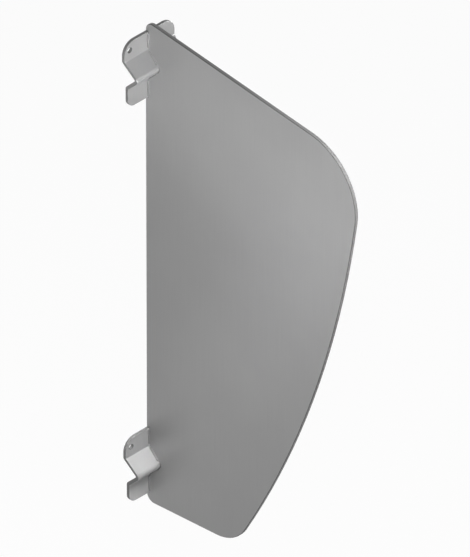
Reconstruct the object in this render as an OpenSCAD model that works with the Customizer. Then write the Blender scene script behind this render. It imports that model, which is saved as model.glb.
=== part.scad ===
/* [Panel] */
// Height of the panel's straight wall edge, measured between its sharp corners (mm)
panel_h = 800; // [600:5:1000]
// How far the upper outer corner, the nose, stands out from the wall (mm)
panel_depth = 400; // [330:5:520]
// Thickness of the panel plate (mm)
panel_t = 6; // [3:0.5:12]
// How steeply the top edge falls away from the wall (degrees)
top_slope = 6; // [0:0.5:15]
// How steeply the bottom edge rises away from the wall (degrees)
bottom_slope = 4.4; // [0:0.2:10]
// Radius of the nose (mm)
nose_r = 96; // [60:1:130]
// Radius of the lower outer corner, the toe (mm)
toe_r = 68; // [30:1:90]
// Distance from the wall to the centre of the toe's rounding (mm)
toe_reach = 130; // [90:1:200]
// Radius of the long outer edge, which runs into the nose and the toe without a corner (mm)
outer_r = 1775; // [1300:5:2400]
// Radius of the two small corners at the wall (mm)
wall_corner_r = 13; // [4:0.5:15]

/* [Brackets] */
// Thickness of the bracket plate (mm)
bracket_t = 5; // [3:0.5:8]
// Width of the upper plate, across both wings (mm)
plate_w = 96; // [84:1:140]
// Height of the upper plate (mm)
plate_h = 29; // [24:1:45]
// Radius of the upper plate's two outer corners (mm)
plate_corner_r = 20; // [4:1:23]
// Width of the lower tab, across both wings (mm)
tab_w = 83; // [70:1:130]
// Height of the lower tab (mm)
tab_h = 31; // [24:1:50]
// Radius of the lower tab's two outer corners (mm)
tab_corner_r = 13; // [2:0.5:18]
// Height of the V-shaped rib between upper plate and lower tab (mm)
rib_h = 48; // [44:1:70]
// How far the rib's two legs lean out from the wall plane (degrees)
rib_angle = 45; // [35:1:50]
// Inner radius of every bend (mm)
bend_r = 2.5; // [2.5:0.5:6]
// Distance from each bracket to the nearer corner of the wall edge (mm)
bracket_margin = 16; // [16:1:60]

/* [Fixing] */
// Diameter of a bracket's two screw holes: left in the upper plate, right in the lower tab (mm)
hole_d = 8.5; // [4:0.5:10]
// Distance from each screw hole to the side edge of its plate or tab (mm)
hole_inset = 10.5; // [9:0.5:20]
// Distance from each screw hole to the bracket's top or bottom edge, whichever is nearer (mm)
hole_margin = 14; // [12:0.5:16]

/* [Welding] */
// Leg length of the fillet welds between bracket and panel (mm)
weld_leg = 2; // [1:0.1:2.4]
// How far each weld stops short of the two ends of the flat it runs along (mm)
weld_stop = 2; // [0.5:0.5:5]
// Gap between the notch in the panel and the bracket that lies in it (mm)
notch_gap = 0.3; // [0.1:0.1:0.8]

/* [Hidden] */
$fn = 180;

steel = [0.60, 0.60, 0.61];
weld_steel = [0.68, 0.68, 0.69];

// The wall is the plane y = 0 and the panel stands out along -y, with its middle plane at x = 0.
// The origin lies on the wall, halfway up between the upper plates' screw holes.

half_turn = rib_angle / 2;
crest_r = bend_r + bracket_t;
bracket_h = plate_h + rib_h + tab_h;
bracket_spacing = panel_h - 2 * bracket_margin - bracket_h;

// Heights: the brackets' top edges follow from the screw holes, the panel's corners from the brackets
top_bracket_z = bracket_spacing / 2 + hole_margin;
bottom_bracket_z = top_bracket_z - bracket_spacing;
panel_top_z = top_bracket_z + bracket_margin;
panel_bottom_z = panel_top_z - panel_h;

// The flats of a bracket's front surface, from its top edge down: length of the flat, then radius
// and angle of the bend that follows it. A positive bend turns toward the room.
fold_run = bend_r * tan(half_turn);
crest_run = crest_r * tan(rib_angle);
leg_run = rib_h / 2 / cos(rib_angle) - fold_run - crest_run;
flats = [
    [plate_h - fold_run, bend_r, rib_angle],
    [leg_run, -crest_r, -2 * rib_angle],
    [leg_run, bend_r, rib_angle],
    [tab_h - fold_run, 0, 0]
];

// Reach of the sharp crest that the rib's two legs would meet in
crest_reach = rib_h / 2 * tan(rib_angle);
// Spare length for tools that cut right through a plate
cut = 1;
// How far a round cutting tool runs over the two edges it blends, so that it meets each cleanly
run_over = 0.005;

function unit(angle) = [cos(angle), sin(angle)];

// Centres of rounded corners that touch the panel's top or bottom edge, u out from the wall
function under_top(u, radius) = [u, panel_top_z - u * tan(top_slope) - radius / cos(top_slope)];
function over_bottom(u, radius) = [
    u, panel_bottom_z + u * tan(bottom_slope) + radius / cos(bottom_slope)
];

// What a rounded corner leaves over, between the outward angles from and to
module corner_waste(centre, radius, from, to) {
    half = (to - from) / 2;
    reach = radius + 2 * cut;
    difference() {
        polygon([
            centre,
            centre + reach * unit(from),
            centre + reach / cos(half) * unit(from + half),
            centre + reach * unit(to)
        ]);
        translate(centre) circle(radius + run_over);
    }
}

// Turns a side view, drawn as [distance from the wall, height], into a plate about x = 0
module side_plate(thickness) {
    rotate([90, 0, -90])
        linear_extrude(thickness, center = true)
            children();
}

// Side view of the panel before it is notched
module panel_outline() {
    top_out = 90 - top_slope;
    bottom_out = bottom_slope - 90;
    far = 2 * panel_depth;

    nose = under_top(panel_depth - nose_r, nose_r);
    toe = over_bottom(toe_reach, toe_r);
    upper = under_top(wall_corner_r, wall_corner_r);
    lower = over_bottom(wall_corner_r, wall_corner_r);

    // The outer edge's centre makes a triangle with the centres of the nose and the toe
    nose_side = outer_r - nose_r;
    toe_side = outer_r - toe_r;
    span = norm(toe - nose);
    nose_angle = acos((pow(nose_side, 2) + pow(span, 2) - pow(toe_side, 2)) / (2 * nose_side * span));
    to_centre = atan2(toe[1] - nose[1], toe[0] - nose[0]) - nose_angle;
    arc_centre = nose + nose_side * unit(to_centre);
    nose_out = to_centre + 180;
    toe_out = atan2(toe[1] - arc_centre[1], toe[0] - arc_centre[0]);

    difference() {
        intersection() {
            polygon([over_bottom(0, 0), over_bottom(far, 0), under_top(far, 0), under_top(0, 0)]);
            translate(arc_centre) circle(outer_r, $fn = 4 * $fn);
        }
        corner_waste(nose, nose_r, nose_out, top_out);
        corner_waste(toe, toe_r, bottom_out, toe_out);
        corner_waste(upper, wall_corner_r, top_out, 180);
        corner_waste(lower, wall_corner_r, 180, 360 + bottom_out);
    }
}

// Side view of all that lies behind a bracket's front surface when that surface is moved out by
// grow (a negative grow moves it in). end runs past the bracket's two ends, back past the wall.
module behind_bracket(top_z, grow, end, back) {
    front = bracket_t + grow;
    fold_r = bend_r - grow;
    tip_r = crest_r + grow;
    foot_z = top_z - bracket_h;
    upper_fold = [bracket_t + bend_r, top_z - plate_h + fold_run];
    lower_fold = [bracket_t + bend_r, foot_z + tab_h - fold_run];
    crest = [bracket_t + crest_reach - crest_r / cos(rib_angle), (upper_fold[1] + lower_fold[1]) / 2];

    difference() {
        polygon([
            [-back, top_z + end],
            [front, top_z + end],
            [front, upper_fold[1]],
            upper_fold,
            upper_fold - fold_r * unit(rib_angle),
            crest + [tip_r / cos(rib_angle), 0],
            lower_fold - fold_r * unit(-rib_angle),
            lower_fold,
            [front, lower_fold[1]],
            [front, foot_z - end],
            [-back, foot_z - end]
        ]);
        translate(upper_fold) circle(fold_r + run_over);
        translate(lower_fold) circle(fold_r + run_over);
        corner_waste(crest, tip_r, -rib_angle, rib_angle);
    }
}

// Side view of the bent plate of a bracket
module bracket_profile(top_z) {
    difference() {
        behind_bracket(top_z, 0, 0, 0);
        behind_bracket(top_z, -bracket_t, cut, cut);
    }
}

// Front view of a bracket, drawn as [across, height], with its top edge at height 0
module bracket_outline() {
    fold = -plate_h;
    tab_top = fold - rib_h;
    foot = -bracket_h;
    across = plate_w / 2;
    tab_across = tab_w / 2;
    difference() {
        polygon([
            [-across, cut],
            [across, cut],
            [across, fold],
            [tab_across, tab_top],
            [tab_across, foot - cut],
            [-tab_across, foot - cut],
            [-tab_across, tab_top],
            [-across, fold]
        ]);
        for (side = [0, 1]) mirror([side, 0]) {
            corner_waste([across - plate_corner_r, -plate_corner_r], plate_corner_r, 0, 90);
            corner_waste([tab_across - tab_corner_r, foot + tab_corner_r], tab_corner_r, -90, 0);
        }
    }
}

// Draws a section, with y toward the room, as a weld along each flat from number i on
module along_flats(i = 0) {
    flat = flats[i][0];
    radius = flats[i][1];
    turn = flats[i][2];
    translate([0, 0, weld_stop])
        linear_extrude(flat - 2 * weld_stop)
            children();
    if (i < len(flats) - 1)
        translate([0, radius, flat])
            rotate([-turn, 0, 0])
                translate([0, -radius, 0])
                    along_flats(i + 1) children();
}

module panel() {
    color(steel) side_plate(panel_t) difference() {
        panel_outline();
        behind_bracket(top_bracket_z, notch_gap, notch_gap, cut);
        behind_bracket(bottom_bracket_z, notch_gap, notch_gap, cut);
    }
}

// What a wall screw's hole takes out of a bracket
module screw_hole(across, height) {
    translate([across, cut, height]) rotate([90, 0, 0]) cylinder(d = hole_d, h = bracket_t + 2 * cut);
}

module bracket(top_z) {
    blank_w = max(plate_w, tab_w);
    reach = bracket_t + crest_reach;
    color(steel) difference() {
        intersection() {
            side_plate(blank_w) bracket_profile(top_z);
            translate([0, cut, top_z]) rotate([90, 0, 0])
                linear_extrude(reach + 2 * cut) bracket_outline();
        }
        screw_hole(hole_inset - plate_w / 2, top_z - hole_margin);
        screw_hole(tab_w / 2 - hole_inset, top_z - bracket_h + hole_margin);
    }
}

// Fillet welds along one face of the panel; side is -1 for the left face and 1 for the right face
module welds(top_z, side) {
    color(weld_steel) translate([0, -bracket_t, top_z]) rotate([180, 0, 0]) along_flats()
        scale([side, 1])
            translate([panel_t / 2, 0])
                polygon([[0, 0], [weld_leg, 0], [0, weld_leg]]);
}

panel();
bracket(top_bracket_z);  // top_bracket
bracket(bottom_bracket_z);  // bottom_bracket
welds(top_bracket_z, -1);  // top_left_welds
welds(top_bracket_z, 1);  // top_right_welds
welds(bottom_bracket_z, -1);  // bottom_left_welds
welds(bottom_bracket_z, 1);  // bottom_right_welds
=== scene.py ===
import math

import bmesh
import bpy
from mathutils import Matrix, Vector


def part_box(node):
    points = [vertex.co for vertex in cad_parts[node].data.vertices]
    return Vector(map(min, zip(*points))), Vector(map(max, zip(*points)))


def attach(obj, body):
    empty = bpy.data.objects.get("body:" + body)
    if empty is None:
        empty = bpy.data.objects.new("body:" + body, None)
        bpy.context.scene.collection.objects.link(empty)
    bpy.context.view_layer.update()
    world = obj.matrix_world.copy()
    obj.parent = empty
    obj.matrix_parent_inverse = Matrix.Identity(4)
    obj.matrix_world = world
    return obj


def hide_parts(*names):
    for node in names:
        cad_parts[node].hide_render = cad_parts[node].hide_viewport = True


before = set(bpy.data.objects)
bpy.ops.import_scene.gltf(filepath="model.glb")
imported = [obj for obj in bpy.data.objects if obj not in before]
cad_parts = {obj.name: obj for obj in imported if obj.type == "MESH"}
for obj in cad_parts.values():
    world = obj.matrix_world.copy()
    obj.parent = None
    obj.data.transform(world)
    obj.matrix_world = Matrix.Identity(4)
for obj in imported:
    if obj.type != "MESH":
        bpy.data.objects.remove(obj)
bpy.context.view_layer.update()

MM = 0.001

# The screen hangs square on its wall, which is the plane y = 0, with the panel standing out along -y.
PANEL_T = 6 * MM              # panel plate
BRACKET_T = 5 * MM            # bracket plate
PLATE_H = 29 * MM             # upper plate of a bracket
RIB_H = 48 * MM               # V-shaped rib
RIB_LEAN = math.radians(45)   # how far the rib's two legs lean out from the wall plane
TAB_H = 31 * MM               # lower tab
BEND_R = 2.5 * MM             # inner radius of every bend
WELD_LEG = 2 * MM
WELD_STOP = 2 * MM            # a bead stops this far short of each end of the flat that it runs along
EDGE_BREAK = 1.2 * MM         # the cut edges are rounded off, so that nobody is scratched


# ---------------------------------------------------------------- helpers

def linear(colour):
    """Turns an sRGB hex colour into the linear colour that Blender works with."""
    levels = [int(colour[i:i + 2], 16) / 255 for i in (1, 3, 5)]
    return [c / 12.92 if c <= 0.04045 else ((c + 0.055) / 1.055) ** 2.4 for c in levels] + [1.0]


def add_node(tree, kind, sockets=None, **settings):
    """Adds a shader node. Each socket takes a value, or the output that feeds it, and goes by its
    name, or by its number where the node has several of one name."""
    new = tree.nodes.new(kind)
    for name, value in settings.items():
        setattr(new, name, value)
    for name, value in (sockets or {}).items():
        if isinstance(value, bpy.types.NodeSocket):
            tree.links.new(value, new.inputs[name])
        else:
            new.inputs[name].default_value = value
    return new


def empty_material(name):
    material = bpy.data.materials.new(name)
    material.use_nodes = True
    material.node_tree.nodes.clear()
    return material


def mesh_piece(name, vertices, faces):
    mesh = bpy.data.meshes.new(name)
    mesh.from_pydata(vertices, [], faces)
    mesh.update()
    piece = bpy.data.objects.new(name, mesh)
    bpy.context.scene.collection.objects.link(piece)
    return piece


# ---------------------------------------------------------------- materials

# Socket numbers of a mix node, for colours and for plain values
COLOUR_A, COLOUR_B, MIXED_COLOUR = 6, 7, 2
VALUE_A, VALUE_B = 2, 3

# Metallic of all three steels: clean steel has 1, and this matches the object's soft, even grey
MIRROR_SHARE = 0.45


def pattern(tree, place, cell, detail, roughness):
    """A random pattern whose grains measure cell (x, y, z), in metres."""
    scaled = add_node(tree, "ShaderNodeMapping", {
        "Vector": place.outputs["Object"], "Scale": [1 / size for size in cell]}, vector_type="POINT")
    noise = add_node(tree, "ShaderNodeTexNoise", {
        "Vector": scaled.outputs[0], "Scale": 1.0, "Detail": detail, "Roughness": roughness})
    return noise.outputs[0]


def cut_edge_and_arris(tree, place, face_axis, flat_from):
    """How much a point of a plate belongs to a cut edge, and how much to a rounded arris. Both come
    from how squarely it faces along face_axis: at least flat_from on a flat, and about 0 on a cut edge."""
    edge_until, edge_gone = 0.1, 0.3
    arris_fade = 0.13
    facing = add_node(tree, "ShaderNodeSeparateXYZ", {"Vector": place.outputs["Normal"]})
    square = add_node(tree, "ShaderNodeMath", {0: facing.outputs[face_axis]}, operation="ABSOLUTE")
    cut_edge = add_node(tree, "ShaderNodeMapRange", {
        "Value": square.outputs[0], "From Min": edge_until, "From Max": edge_gone,
        "To Min": 1.0, "To Max": 0.0})
    off_flat = add_node(tree, "ShaderNodeMapRange", {
        "Value": square.outputs[0], "From Min": flat_from - arris_fade, "From Max": flat_from,
        "To Min": 1.0, "To Max": 0.0})
    arris = add_node(tree, "ShaderNodeMath", {
        0: off_flat.outputs[0], 1: cut_edge.outputs[0]}, operation="SUBTRACT", use_clamp=True)
    return cut_edge.outputs[0], arris.outputs[0]


def satin_stainless_sheet(name, face_axis, flat_from):
    """Stainless steel sheet ground with a fine belt and laser cut: a soft grey sheen with a faint
    grain that runs up and down, duller and darker cut edges with fine cutting lines across the
    plate, their grey partly their own and partly painted shade, and rounded arrises, which the file
    has left rough, painted the darkest grey as a painted shade line along every edge."""
    # Cut edge grey: partly the cut's own duller tone, partly painted shade. Arris grey: painted shade, a
    # dark line along every edge.
    sheet_grey, edge_grey_and_shade, painted_arris_shade = linear("#969696"), linear("#7c7c7c"), linear("#565656")
    sheet_smooth, sheet_dull, edge_dull, arris_dull = 0.42, 0.50, 0.75, 0.8
    material = empty_material(name)
    tree = material.node_tree
    place = add_node(tree, "ShaderNodeTexCoord")
    cut_edge, arris = cut_edge_and_arris(tree, place, face_axis, flat_from)

    # Belt grain: real scratches are about 0.1 mm apart, drawn 1.4 mm apart so that they show
    grain = pattern(tree, place, (1.4 * MM, 1.4 * MM, 110 * MM), detail=3.0, roughness=0.6)

    # Clouding from handling and cleaning, about 90 mm across
    clouds = pattern(tree, place, (90 * MM, 90 * MM, 90 * MM), detail=2.0, roughness=0.5)

    # Cutting lines on the cut edges: real ones are about 0.3 mm apart, drawn 0.9 mm apart
    line_cell = [0.9 * MM] * 3
    line_cell[face_axis] = 20 * MM
    lines = pattern(tree, place, line_cell, detail=1.0, roughness=0.5)

    # Grain and clouding together swing about 1
    mottle = add_node(tree, "ShaderNodeMath", {0: grain, 1: clouds}, operation="ADD")
    swing = {"Value": mottle.outputs[0], "From Min": 0.6, "From Max": 1.4}

    # Colour: sheet, then cut edge, partly its own grey and partly painted shade, then the arris's
    # painted shade line, all moved a little by the mottle
    edge_tone_and_shade = add_node(tree, "ShaderNodeMix", {
        "Factor": cut_edge, COLOUR_A: sheet_grey, COLOUR_B: edge_grey_and_shade}, data_type="RGBA")
    with_arris_shade = add_node(tree, "ShaderNodeMix", {
        "Factor": arris, COLOUR_A: edge_tone_and_shade.outputs[MIXED_COLOUR], COLOUR_B: painted_arris_shade},
        data_type="RGBA")
    shade = add_node(tree, "ShaderNodeMapRange", {**swing, "To Min": 0.95, "To Max": 1.05})
    colour = add_node(tree, "ShaderNodeVectorMath", {
        0: with_arris_shade.outputs[MIXED_COLOUR], "Scale": shade.outputs[0]}, operation="SCALE")

    # Roughness: the mottle moves it on the sheet, and cut edges and arrises are rougher
    sheet_rough = add_node(tree, "ShaderNodeMapRange", {
        **swing, "To Min": sheet_smooth, "To Max": sheet_dull})
    edge_rough = add_node(tree, "ShaderNodeMix", {
        "Factor": cut_edge, VALUE_A: sheet_rough.outputs[0], VALUE_B: edge_dull}, data_type="FLOAT")
    rough = add_node(tree, "ShaderNodeMix", {
        "Factor": arris, VALUE_A: edge_rough.outputs[0], VALUE_B: arris_dull}, data_type="FLOAT")

    # Height: the grain, and on cut edges the cutting lines
    height = add_node(tree, "ShaderNodeMix", {
        "Factor": cut_edge, VALUE_A: grain, VALUE_B: lines}, data_type="FLOAT")
    bump = add_node(tree, "ShaderNodeBump", {
        "Height": height.outputs[0], "Strength": 0.25, "Distance": 0.02 * MM})

    steel = add_node(tree, "ShaderNodeBsdfPrincipled", {
        "Base Color": colour.outputs[0], "Metallic": MIRROR_SHARE,
        "Roughness": rough.outputs[0], "Normal": bump.outputs[0]})
    add_node(tree, "ShaderNodeOutputMaterial", {"Surface": steel.outputs[0]})
    return material


def brushed_weld_metal():
    """Stainless weld bead cleaned with a wire brush: a darker grey than the sheet, broken up by the
    brush's short scratches, some bright and some dull."""
    dark_grey, light_grey = linear("#626262"), linear("#747474")
    material = empty_material("stainless_weld_bead_wire_brushed")
    tree = material.node_tree
    place = add_node(tree, "ShaderNodeTexCoord")
    # Wire scratches about 0.2 mm apart, drawn 0.4 mm apart
    scratches = pattern(tree, place, (0.4 * MM, 0.4 * MM, 0.4 * MM), detail=3.0, roughness=0.6)
    colour = add_node(tree, "ShaderNodeMix", {
        "Factor": scratches, COLOUR_A: dark_grey, COLOUR_B: light_grey}, data_type="RGBA")
    rough = add_node(tree, "ShaderNodeMapRange", {
        "Value": scratches, "From Min": 0.3, "From Max": 0.7, "To Min": 0.36, "To Max": 0.5})
    bump = add_node(tree, "ShaderNodeBump", {
        "Height": scratches, "Strength": 0.4, "Distance": 0.03 * MM})
    steel = add_node(tree, "ShaderNodeBsdfPrincipled", {
        "Base Color": colour.outputs[MIXED_COLOUR], "Metallic": MIRROR_SHARE,
        "Roughness": rough.outputs[0], "Normal": bump.outputs[0]})
    add_node(tree, "ShaderNodeOutputMaterial", {"Surface": steel.outputs[0]})
    return material


# ---------------------------------------------------------------- plates

def dress_edges(plate, material):
    """Rounds the arrises of a plate that comes from the frame, and gives it its finish."""
    join = plate.modifiers.new("join corners", "WELD")
    join.merge_threshold = 0.001 * MM
    flats = plate.modifiers.new("one face for each flat", "DECIMATE")
    flats.decimate_type = "DISSOLVE"
    flats.angle_limit = math.radians(0.05)   # well under the smallest step of a round outline
    arris = plate.modifiers.new("file the edges", "BEVEL")
    arris.width = EDGE_BREAK
    arris.segments = 3
    arris.limit_method = "ANGLE"
    arris.angle_limit = math.radians(35)     # well over the steps of a bend, which stays as it is
    arris.harden_normals = True
    arris.miter_outer = "MITER_ARC"
    plate.data.materials.clear()
    plate.data.materials.append(material)


# ---------------------------------------------------------------- weld beads

RIPPLE = 1.3 * MM         # length of one ripple
RIPPLE_LEAD = 0.7 * MM    # how far a ripple's crown runs ahead of its toes
RIPPLE_DIP = 0.16 * MM    # depth of the valley between two ripples
RIPPLE_SKEW = 0.6         # under 1, so that a ripple rises steeply and falls away slowly
BEAD_CROWN = 0.32 * MM    # how far the bead swells past a flat fillet
BEAD_SUNK = 0.12 * MM     # the bead's root lies this deep in both plates
BEAD_END = 1.3 * MM       # length over which each end rounds down to the plates
BEAD_END_SIZE = 0.3       # size of the very end, where 1 is the full bead
RING_GAP = 0.16 * MM      # from one ring of points to the next
TOE_TO_TOE = 8            # steps across the bead


def move(point, direction, run):
    """The point (y, z) that lies run further along a direction."""
    return point[0] + run * direction[0], point[1] + run * direction[1]


def bracket_flats(top_z):
    """The flats of a bracket's front surface from its top edge down: where each starts (y, z), which
    way it runs, which way it faces, and its length."""
    sine, cosine = math.sin(RIB_LEAN), math.cos(RIB_LEAN)
    down, outward, inward = (0, -1), (-sine, -cosine), (sine, -cosine)
    to_room, half_up, half_down = (-1, 0), (-cosine, sine), (-cosine, -sine)
    fold_run = BEND_R * math.tan(RIB_LEAN / 2)
    crest_run = (BEND_R + BRACKET_T) * math.tan(RIB_LEAN)
    leg = RIB_H / 2 / cosine - fold_run - crest_run

    plate_top = (-BRACKET_T, top_z)
    upper_fold = move(plate_top, down, PLATE_H)
    lower_fold = move(upper_fold, down, RIB_H)
    upper_leg = move(upper_fold, outward, fold_run)
    lower_leg = move(lower_fold, inward, -(fold_run + leg))
    tab_top = move(lower_fold, down, fold_run)
    return [
        (plate_top, down, to_room, PLATE_H - fold_run),
        (upper_leg, outward, half_up, leg),
        (lower_leg, inward, half_down, leg),
        (tab_top, down, to_room, TAB_H - fold_run),
    ]


def bead_section(leg, swell):
    """One ring of a bead: each point's distance off the panel and off the flat, and its place
    between the two toes, from 0 to 1."""
    section = [(-BEAD_SUNK, -BEAD_SUNK, 0), (leg, -BEAD_SUNK, 0)]
    for step in range(TOE_TO_TOE + 1):
        across = step / TOE_TO_TOE
        bulge = swell * math.sin(math.pi * across) / math.sqrt(2)
        section.append((leg * (1 - across) + bulge, leg * across + bulge, across))
    section.append((-BEAD_SUNK, leg, 1))
    return section


def weld_bead(start, along, out, length, side):
    """One fillet bead in the corner between a flat and a face of the panel: rings of points whose
    crowns lead their toes, so that the ripples curve as they do where metal has frozen in waves."""
    bead = length - 2 * WELD_STOP
    rings = int(bead / RING_GAP)
    vertices, faces = [], []
    for i in range(rings + 1):
        run = bead * i / rings
        from_end = min(run, bead - run, BEAD_END) / BEAD_END   # 0 at both ends, 1 along the middle
        size = BEAD_END_SIZE + (1 - BEAD_END_SIZE) * math.sqrt(1 - (1 - from_end) ** 2)
        wave = (run / RIPPLE) % 1.0
        valley = RIPPLE_DIP * (1 - math.sin(math.pi * wave ** RIPPLE_SKEW)) * from_end
        # The lead dies out toward both ends, and faster at the far one, so that no crown runs past it
        lead = RIPPLE_LEAD * from_end * (1 if run < length / 2 else from_end)
        for off_panel, off_flat, across in bead_section(WELD_LEG * size, (BEAD_CROWN - valley) * size):
            ahead = min(WELD_STOP + run + lead * math.sin(math.pi * across), length - WELD_STOP)
            y, z = move(move(start, along, ahead), out, off_flat)
            vertices.append((side * (PANEL_T / 2 + off_panel), y, z))

    count = len(vertices) // (rings + 1)
    for i in range(rings):
        for n in range(count):
            a, b = i * count + n, i * count + (n + 1) % count
            faces.append((a, b, b + count, a + count))
    faces.append(tuple(range(count)))
    faces.append(tuple(range(rings * count, (rings + 1) * count)))
    return vertices, faces


def weld_beads(name, top_z, side, material):
    """The four beads that join one bracket to one face of the panel; side is -1 for the left face
    and 1 for the right face."""
    vertices, faces = [], []
    for start, along, out, length in bracket_flats(top_z):
        new_vertices, new_faces = weld_bead(start, along, out, length, side)
        first = len(vertices)
        vertices += new_vertices
        faces += [tuple(first + v for v in face) for face in new_faces]
    piece = mesh_piece(name, vertices, faces)
    surface = bmesh.new()
    surface.from_mesh(piece.data)
    bmesh.ops.recalc_face_normals(surface, faces=surface.faces)
    for face in surface.faces:
        face.smooth = True
    surface.to_mesh(piece.data)
    surface.free()
    piece.data.materials.append(material)
    return piece


# ---------------------------------------------------------------- the screen

# The panel's flats face along x, and a point counts as flat up to 14 degrees off. The brackets' flats
# face along y, and the legs of their ribs, which lean 45 degrees, count as flat too.
X_AXIS, Y_AXIS = 0, 1
PANEL_FLAT_FROM, BRACKET_FLAT_FROM = 0.97, 0.68

sheet = satin_stainless_sheet("stainless_sheet_satin_ground", X_AXIS, PANEL_FLAT_FROM)
strip = satin_stainless_sheet("stainless_strip_satin_ground_and_bent", Y_AXIS, BRACKET_FLAT_FROM)
bead_metal = brushed_weld_metal()

dress_edges(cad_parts["panel"], sheet)
for node in ("top_bracket", "bottom_bracket"):
    dress_edges(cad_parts[node], strip)

for place in ("top", "bottom"):
    bracket_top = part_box(place + "_bracket")[1][2]
    for hand, side in (("left", -1), ("right", 1)):
        beads = weld_beads(f"{place}_{hand}_weld_beads", bracket_top, side, bead_metal)
        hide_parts(f"{place}_{hand}_welds")
        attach(beads, "root")


# ---------------------------------------------------------------- floor and studio

WHITE = (1, 1, 1, 1)
FLOOR_Z = -0.94       # the screen hangs half a metre above the floor
FLOOR_REACH = 9.0     # from the middle of the floor to each side
FLOOR_WHITE = 0.96    # share of the floor that shows plain white; the rest is matt and takes the shadow
STUDIO_DIM = 0.05     # the soft light that comes from all around, apart from the lamps


def white_when_seen(tree, share):
    """Gives share to the camera and to what mirrors or is seen through, and 0 to all soft light."""
    ray = add_node(tree, "ShaderNodeLightPath")
    eye_or_mirror = add_node(tree, "ShaderNodeMath", {
        0: ray.outputs["Is Camera Ray"], 1: ray.outputs["Is Glossy Ray"]}, operation="MAXIMUM")
    seen = add_node(tree, "ShaderNodeMath", {
        0: eye_or_mirror.outputs[0], 1: ray.outputs["Is Transmission Ray"]}, operation="MAXIMUM")
    part = add_node(tree, "ShaderNodeMath", {0: seen.outputs[0], 1: share}, operation="MULTIPLY")
    return part.outputs[0]


def floor_paint():
    """Pale matt studio paint that shows white, so that only the shadow marks it."""
    material = empty_material("pale_studio_floor")
    tree = material.node_tree
    matt = add_node(tree, "ShaderNodeBsdfDiffuse", {"Color": linear("#f4f4f4")})
    white = add_node(tree, "ShaderNodeEmission", {"Color": WHITE, "Strength": 1.0})
    both = add_node(tree, "ShaderNodeMixShader", {
        0: white_when_seen(tree, FLOOR_WHITE), 1: matt.outputs[0], 2: white.outputs[0]})
    add_node(tree, "ShaderNodeOutputMaterial", {"Surface": both.outputs[0]})
    material.cycles.emission_sampling = "NONE"   # the white is for the eye, and lights nothing
    return material


def studio_world():
    """A studio that the eye and the steel see white, and that gives little light of its own."""
    world = bpy.data.worlds.new("studio")
    world.use_nodes = True
    tree = world.node_tree
    tree.nodes.clear()
    dim = add_node(tree, "ShaderNodeBackground", {"Color": WHITE, "Strength": STUDIO_DIM})
    bright = add_node(tree, "ShaderNodeBackground", {"Color": WHITE, "Strength": 1.0})
    both = add_node(tree, "ShaderNodeMixShader", {
        0: white_when_seen(tree, 1.0), 1: dim.outputs[0], 2: bright.outputs[0]})
    add_node(tree, "ShaderNodeOutputWorld", {"Surface": both.outputs[0]})
    return world


floor_corners = [(x * FLOOR_REACH, y * FLOOR_REACH, FLOOR_Z)
                 for x, y in ((-1, -1), (1, -1), (1, 1), (-1, 1))]
floor = mesh_piece("floor", floor_corners, [(0, 1, 2, 3)])
floor.data.materials.append(floor_paint())
bpy.context.scene.world = studio_world()


# ---------------------------------------------------------------- lamps

def softbox(name, place, target, size, watts, spread=180):
    """A square softbox that looks from place to target. A honeycomb grid narrows its spread (degrees)."""
    lamp = bpy.data.lights.new(name, "AREA")
    lamp.shape, lamp.size, lamp.energy = "SQUARE", size, watts
    lamp.spread = math.radians(spread)
    stand = bpy.data.objects.new(name, lamp)
    stand.location = place
    stand.rotation_euler = (Vector(target) - Vector(place)).to_track_quat("-Z", "Y").to_euler()
    stand.visible_camera = False
    bpy.context.scene.collection.objects.link(stand)


# What the lamps are aimed at
MIDDLE = (0, -0.2, 0)
NOSE = (0, -0.36, 0.12)
LOW_BRACKET = (-0.03, -0.02, -0.37)
HIGH_BRACKET = (-0.03, -0.02, 0.3)
RIGHT_EAR = (0.035, -0.005, 0.335)   # the end of the upper plate that shows above the panel

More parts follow.
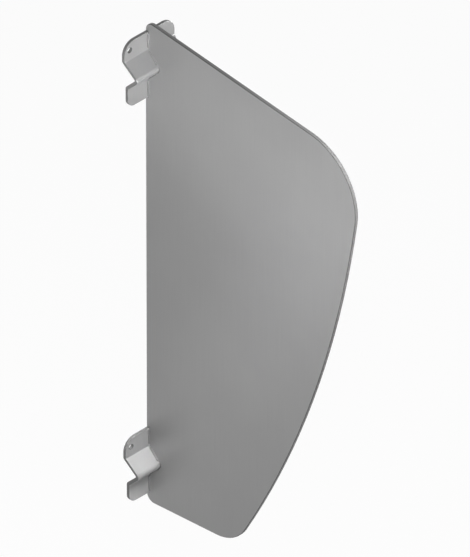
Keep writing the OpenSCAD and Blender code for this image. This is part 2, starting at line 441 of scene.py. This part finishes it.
softbox("softbox_front_left", (-0.7, -0.9, 0.7), MIDDLE, size=0.6, watts=10.8)
softbox("softbox_left", (-1.2, -0.6, 0.8), MIDDLE, size=0.6, watts=1.05)
softbox("softbox_front", (-0.35, -1.1, 0.25), MIDDLE, size=0.6, watts=0.9)
softbox("softbox_right", (1.2, -0.3, 0.3), MIDDLE, size=0.6, watts=6.0)
softbox("softbox_behind", (0.8, 1.2, 0.6), MIDDLE, size=0.6, watts=6.0)
softbox("gridded_box_nose", (-0.6, -1.0, 0.75), NOSE, size=0.3, watts=0.12, spread=20)
softbox("gridded_box_low_rib", (-0.06, -0.8, 0.9), LOW_BRACKET, size=0.3, watts=0.44, spread=30)
softbox("gridded_box_low_rib_left", (-0.2, -0.8, 0.9), LOW_BRACKET, size=0.1, watts=0.084, spread=12)
softbox("gridded_box_low_plates", (-0.06, -1.0, -0.1), LOW_BRACKET, size=0.3, watts=0.105, spread=30)
softbox("gridded_box_high_plates", (-0.4, -1.0, 0.0), HIGH_BRACKET, size=0.2, watts=0.23, spread=22)
softbox("gridded_box_right_ear", (0.9, -0.8, 0.3), RIGHT_EAR, size=0.1, watts=0.105, spread=16)


# ---------------------------------------------------------------- camera

# The photograph is a parallel view along a cube's diagonal, so the camera stands far off with a long lens
AIM = Vector((0.0007, -0.1677, 0.0146))
AZIMUTH, ELEVATION = math.radians(-45), math.radians(35.264)
LENS, SENSOR = 1400.0, 36.0   # millimetres
SEEN_HEIGHT = 0.7558          # metres of the view's height at the aim point
back = Vector((math.sin(AZIMUTH) * math.cos(ELEVATION),
               -math.cos(AZIMUTH) * math.cos(ELEVATION),
               math.sin(ELEVATION)))
lens = bpy.data.cameras.new("camera")
lens.lens, lens.sensor_width = LENS, SENSOR
lens.clip_start, lens.clip_end = 1.0, 100.0
camera = bpy.data.objects.new("camera", lens)
camera.location = AIM + back * (SEEN_HEIGHT * LENS / SENSOR)
camera.rotation_euler = (-back).to_track_quat("-Z", "Y").to_euler()
bpy.context.scene.collection.objects.link(camera)
bpy.context.scene.camera = camera
bpy.context.scene.view_settings.view_transform = "Standard"
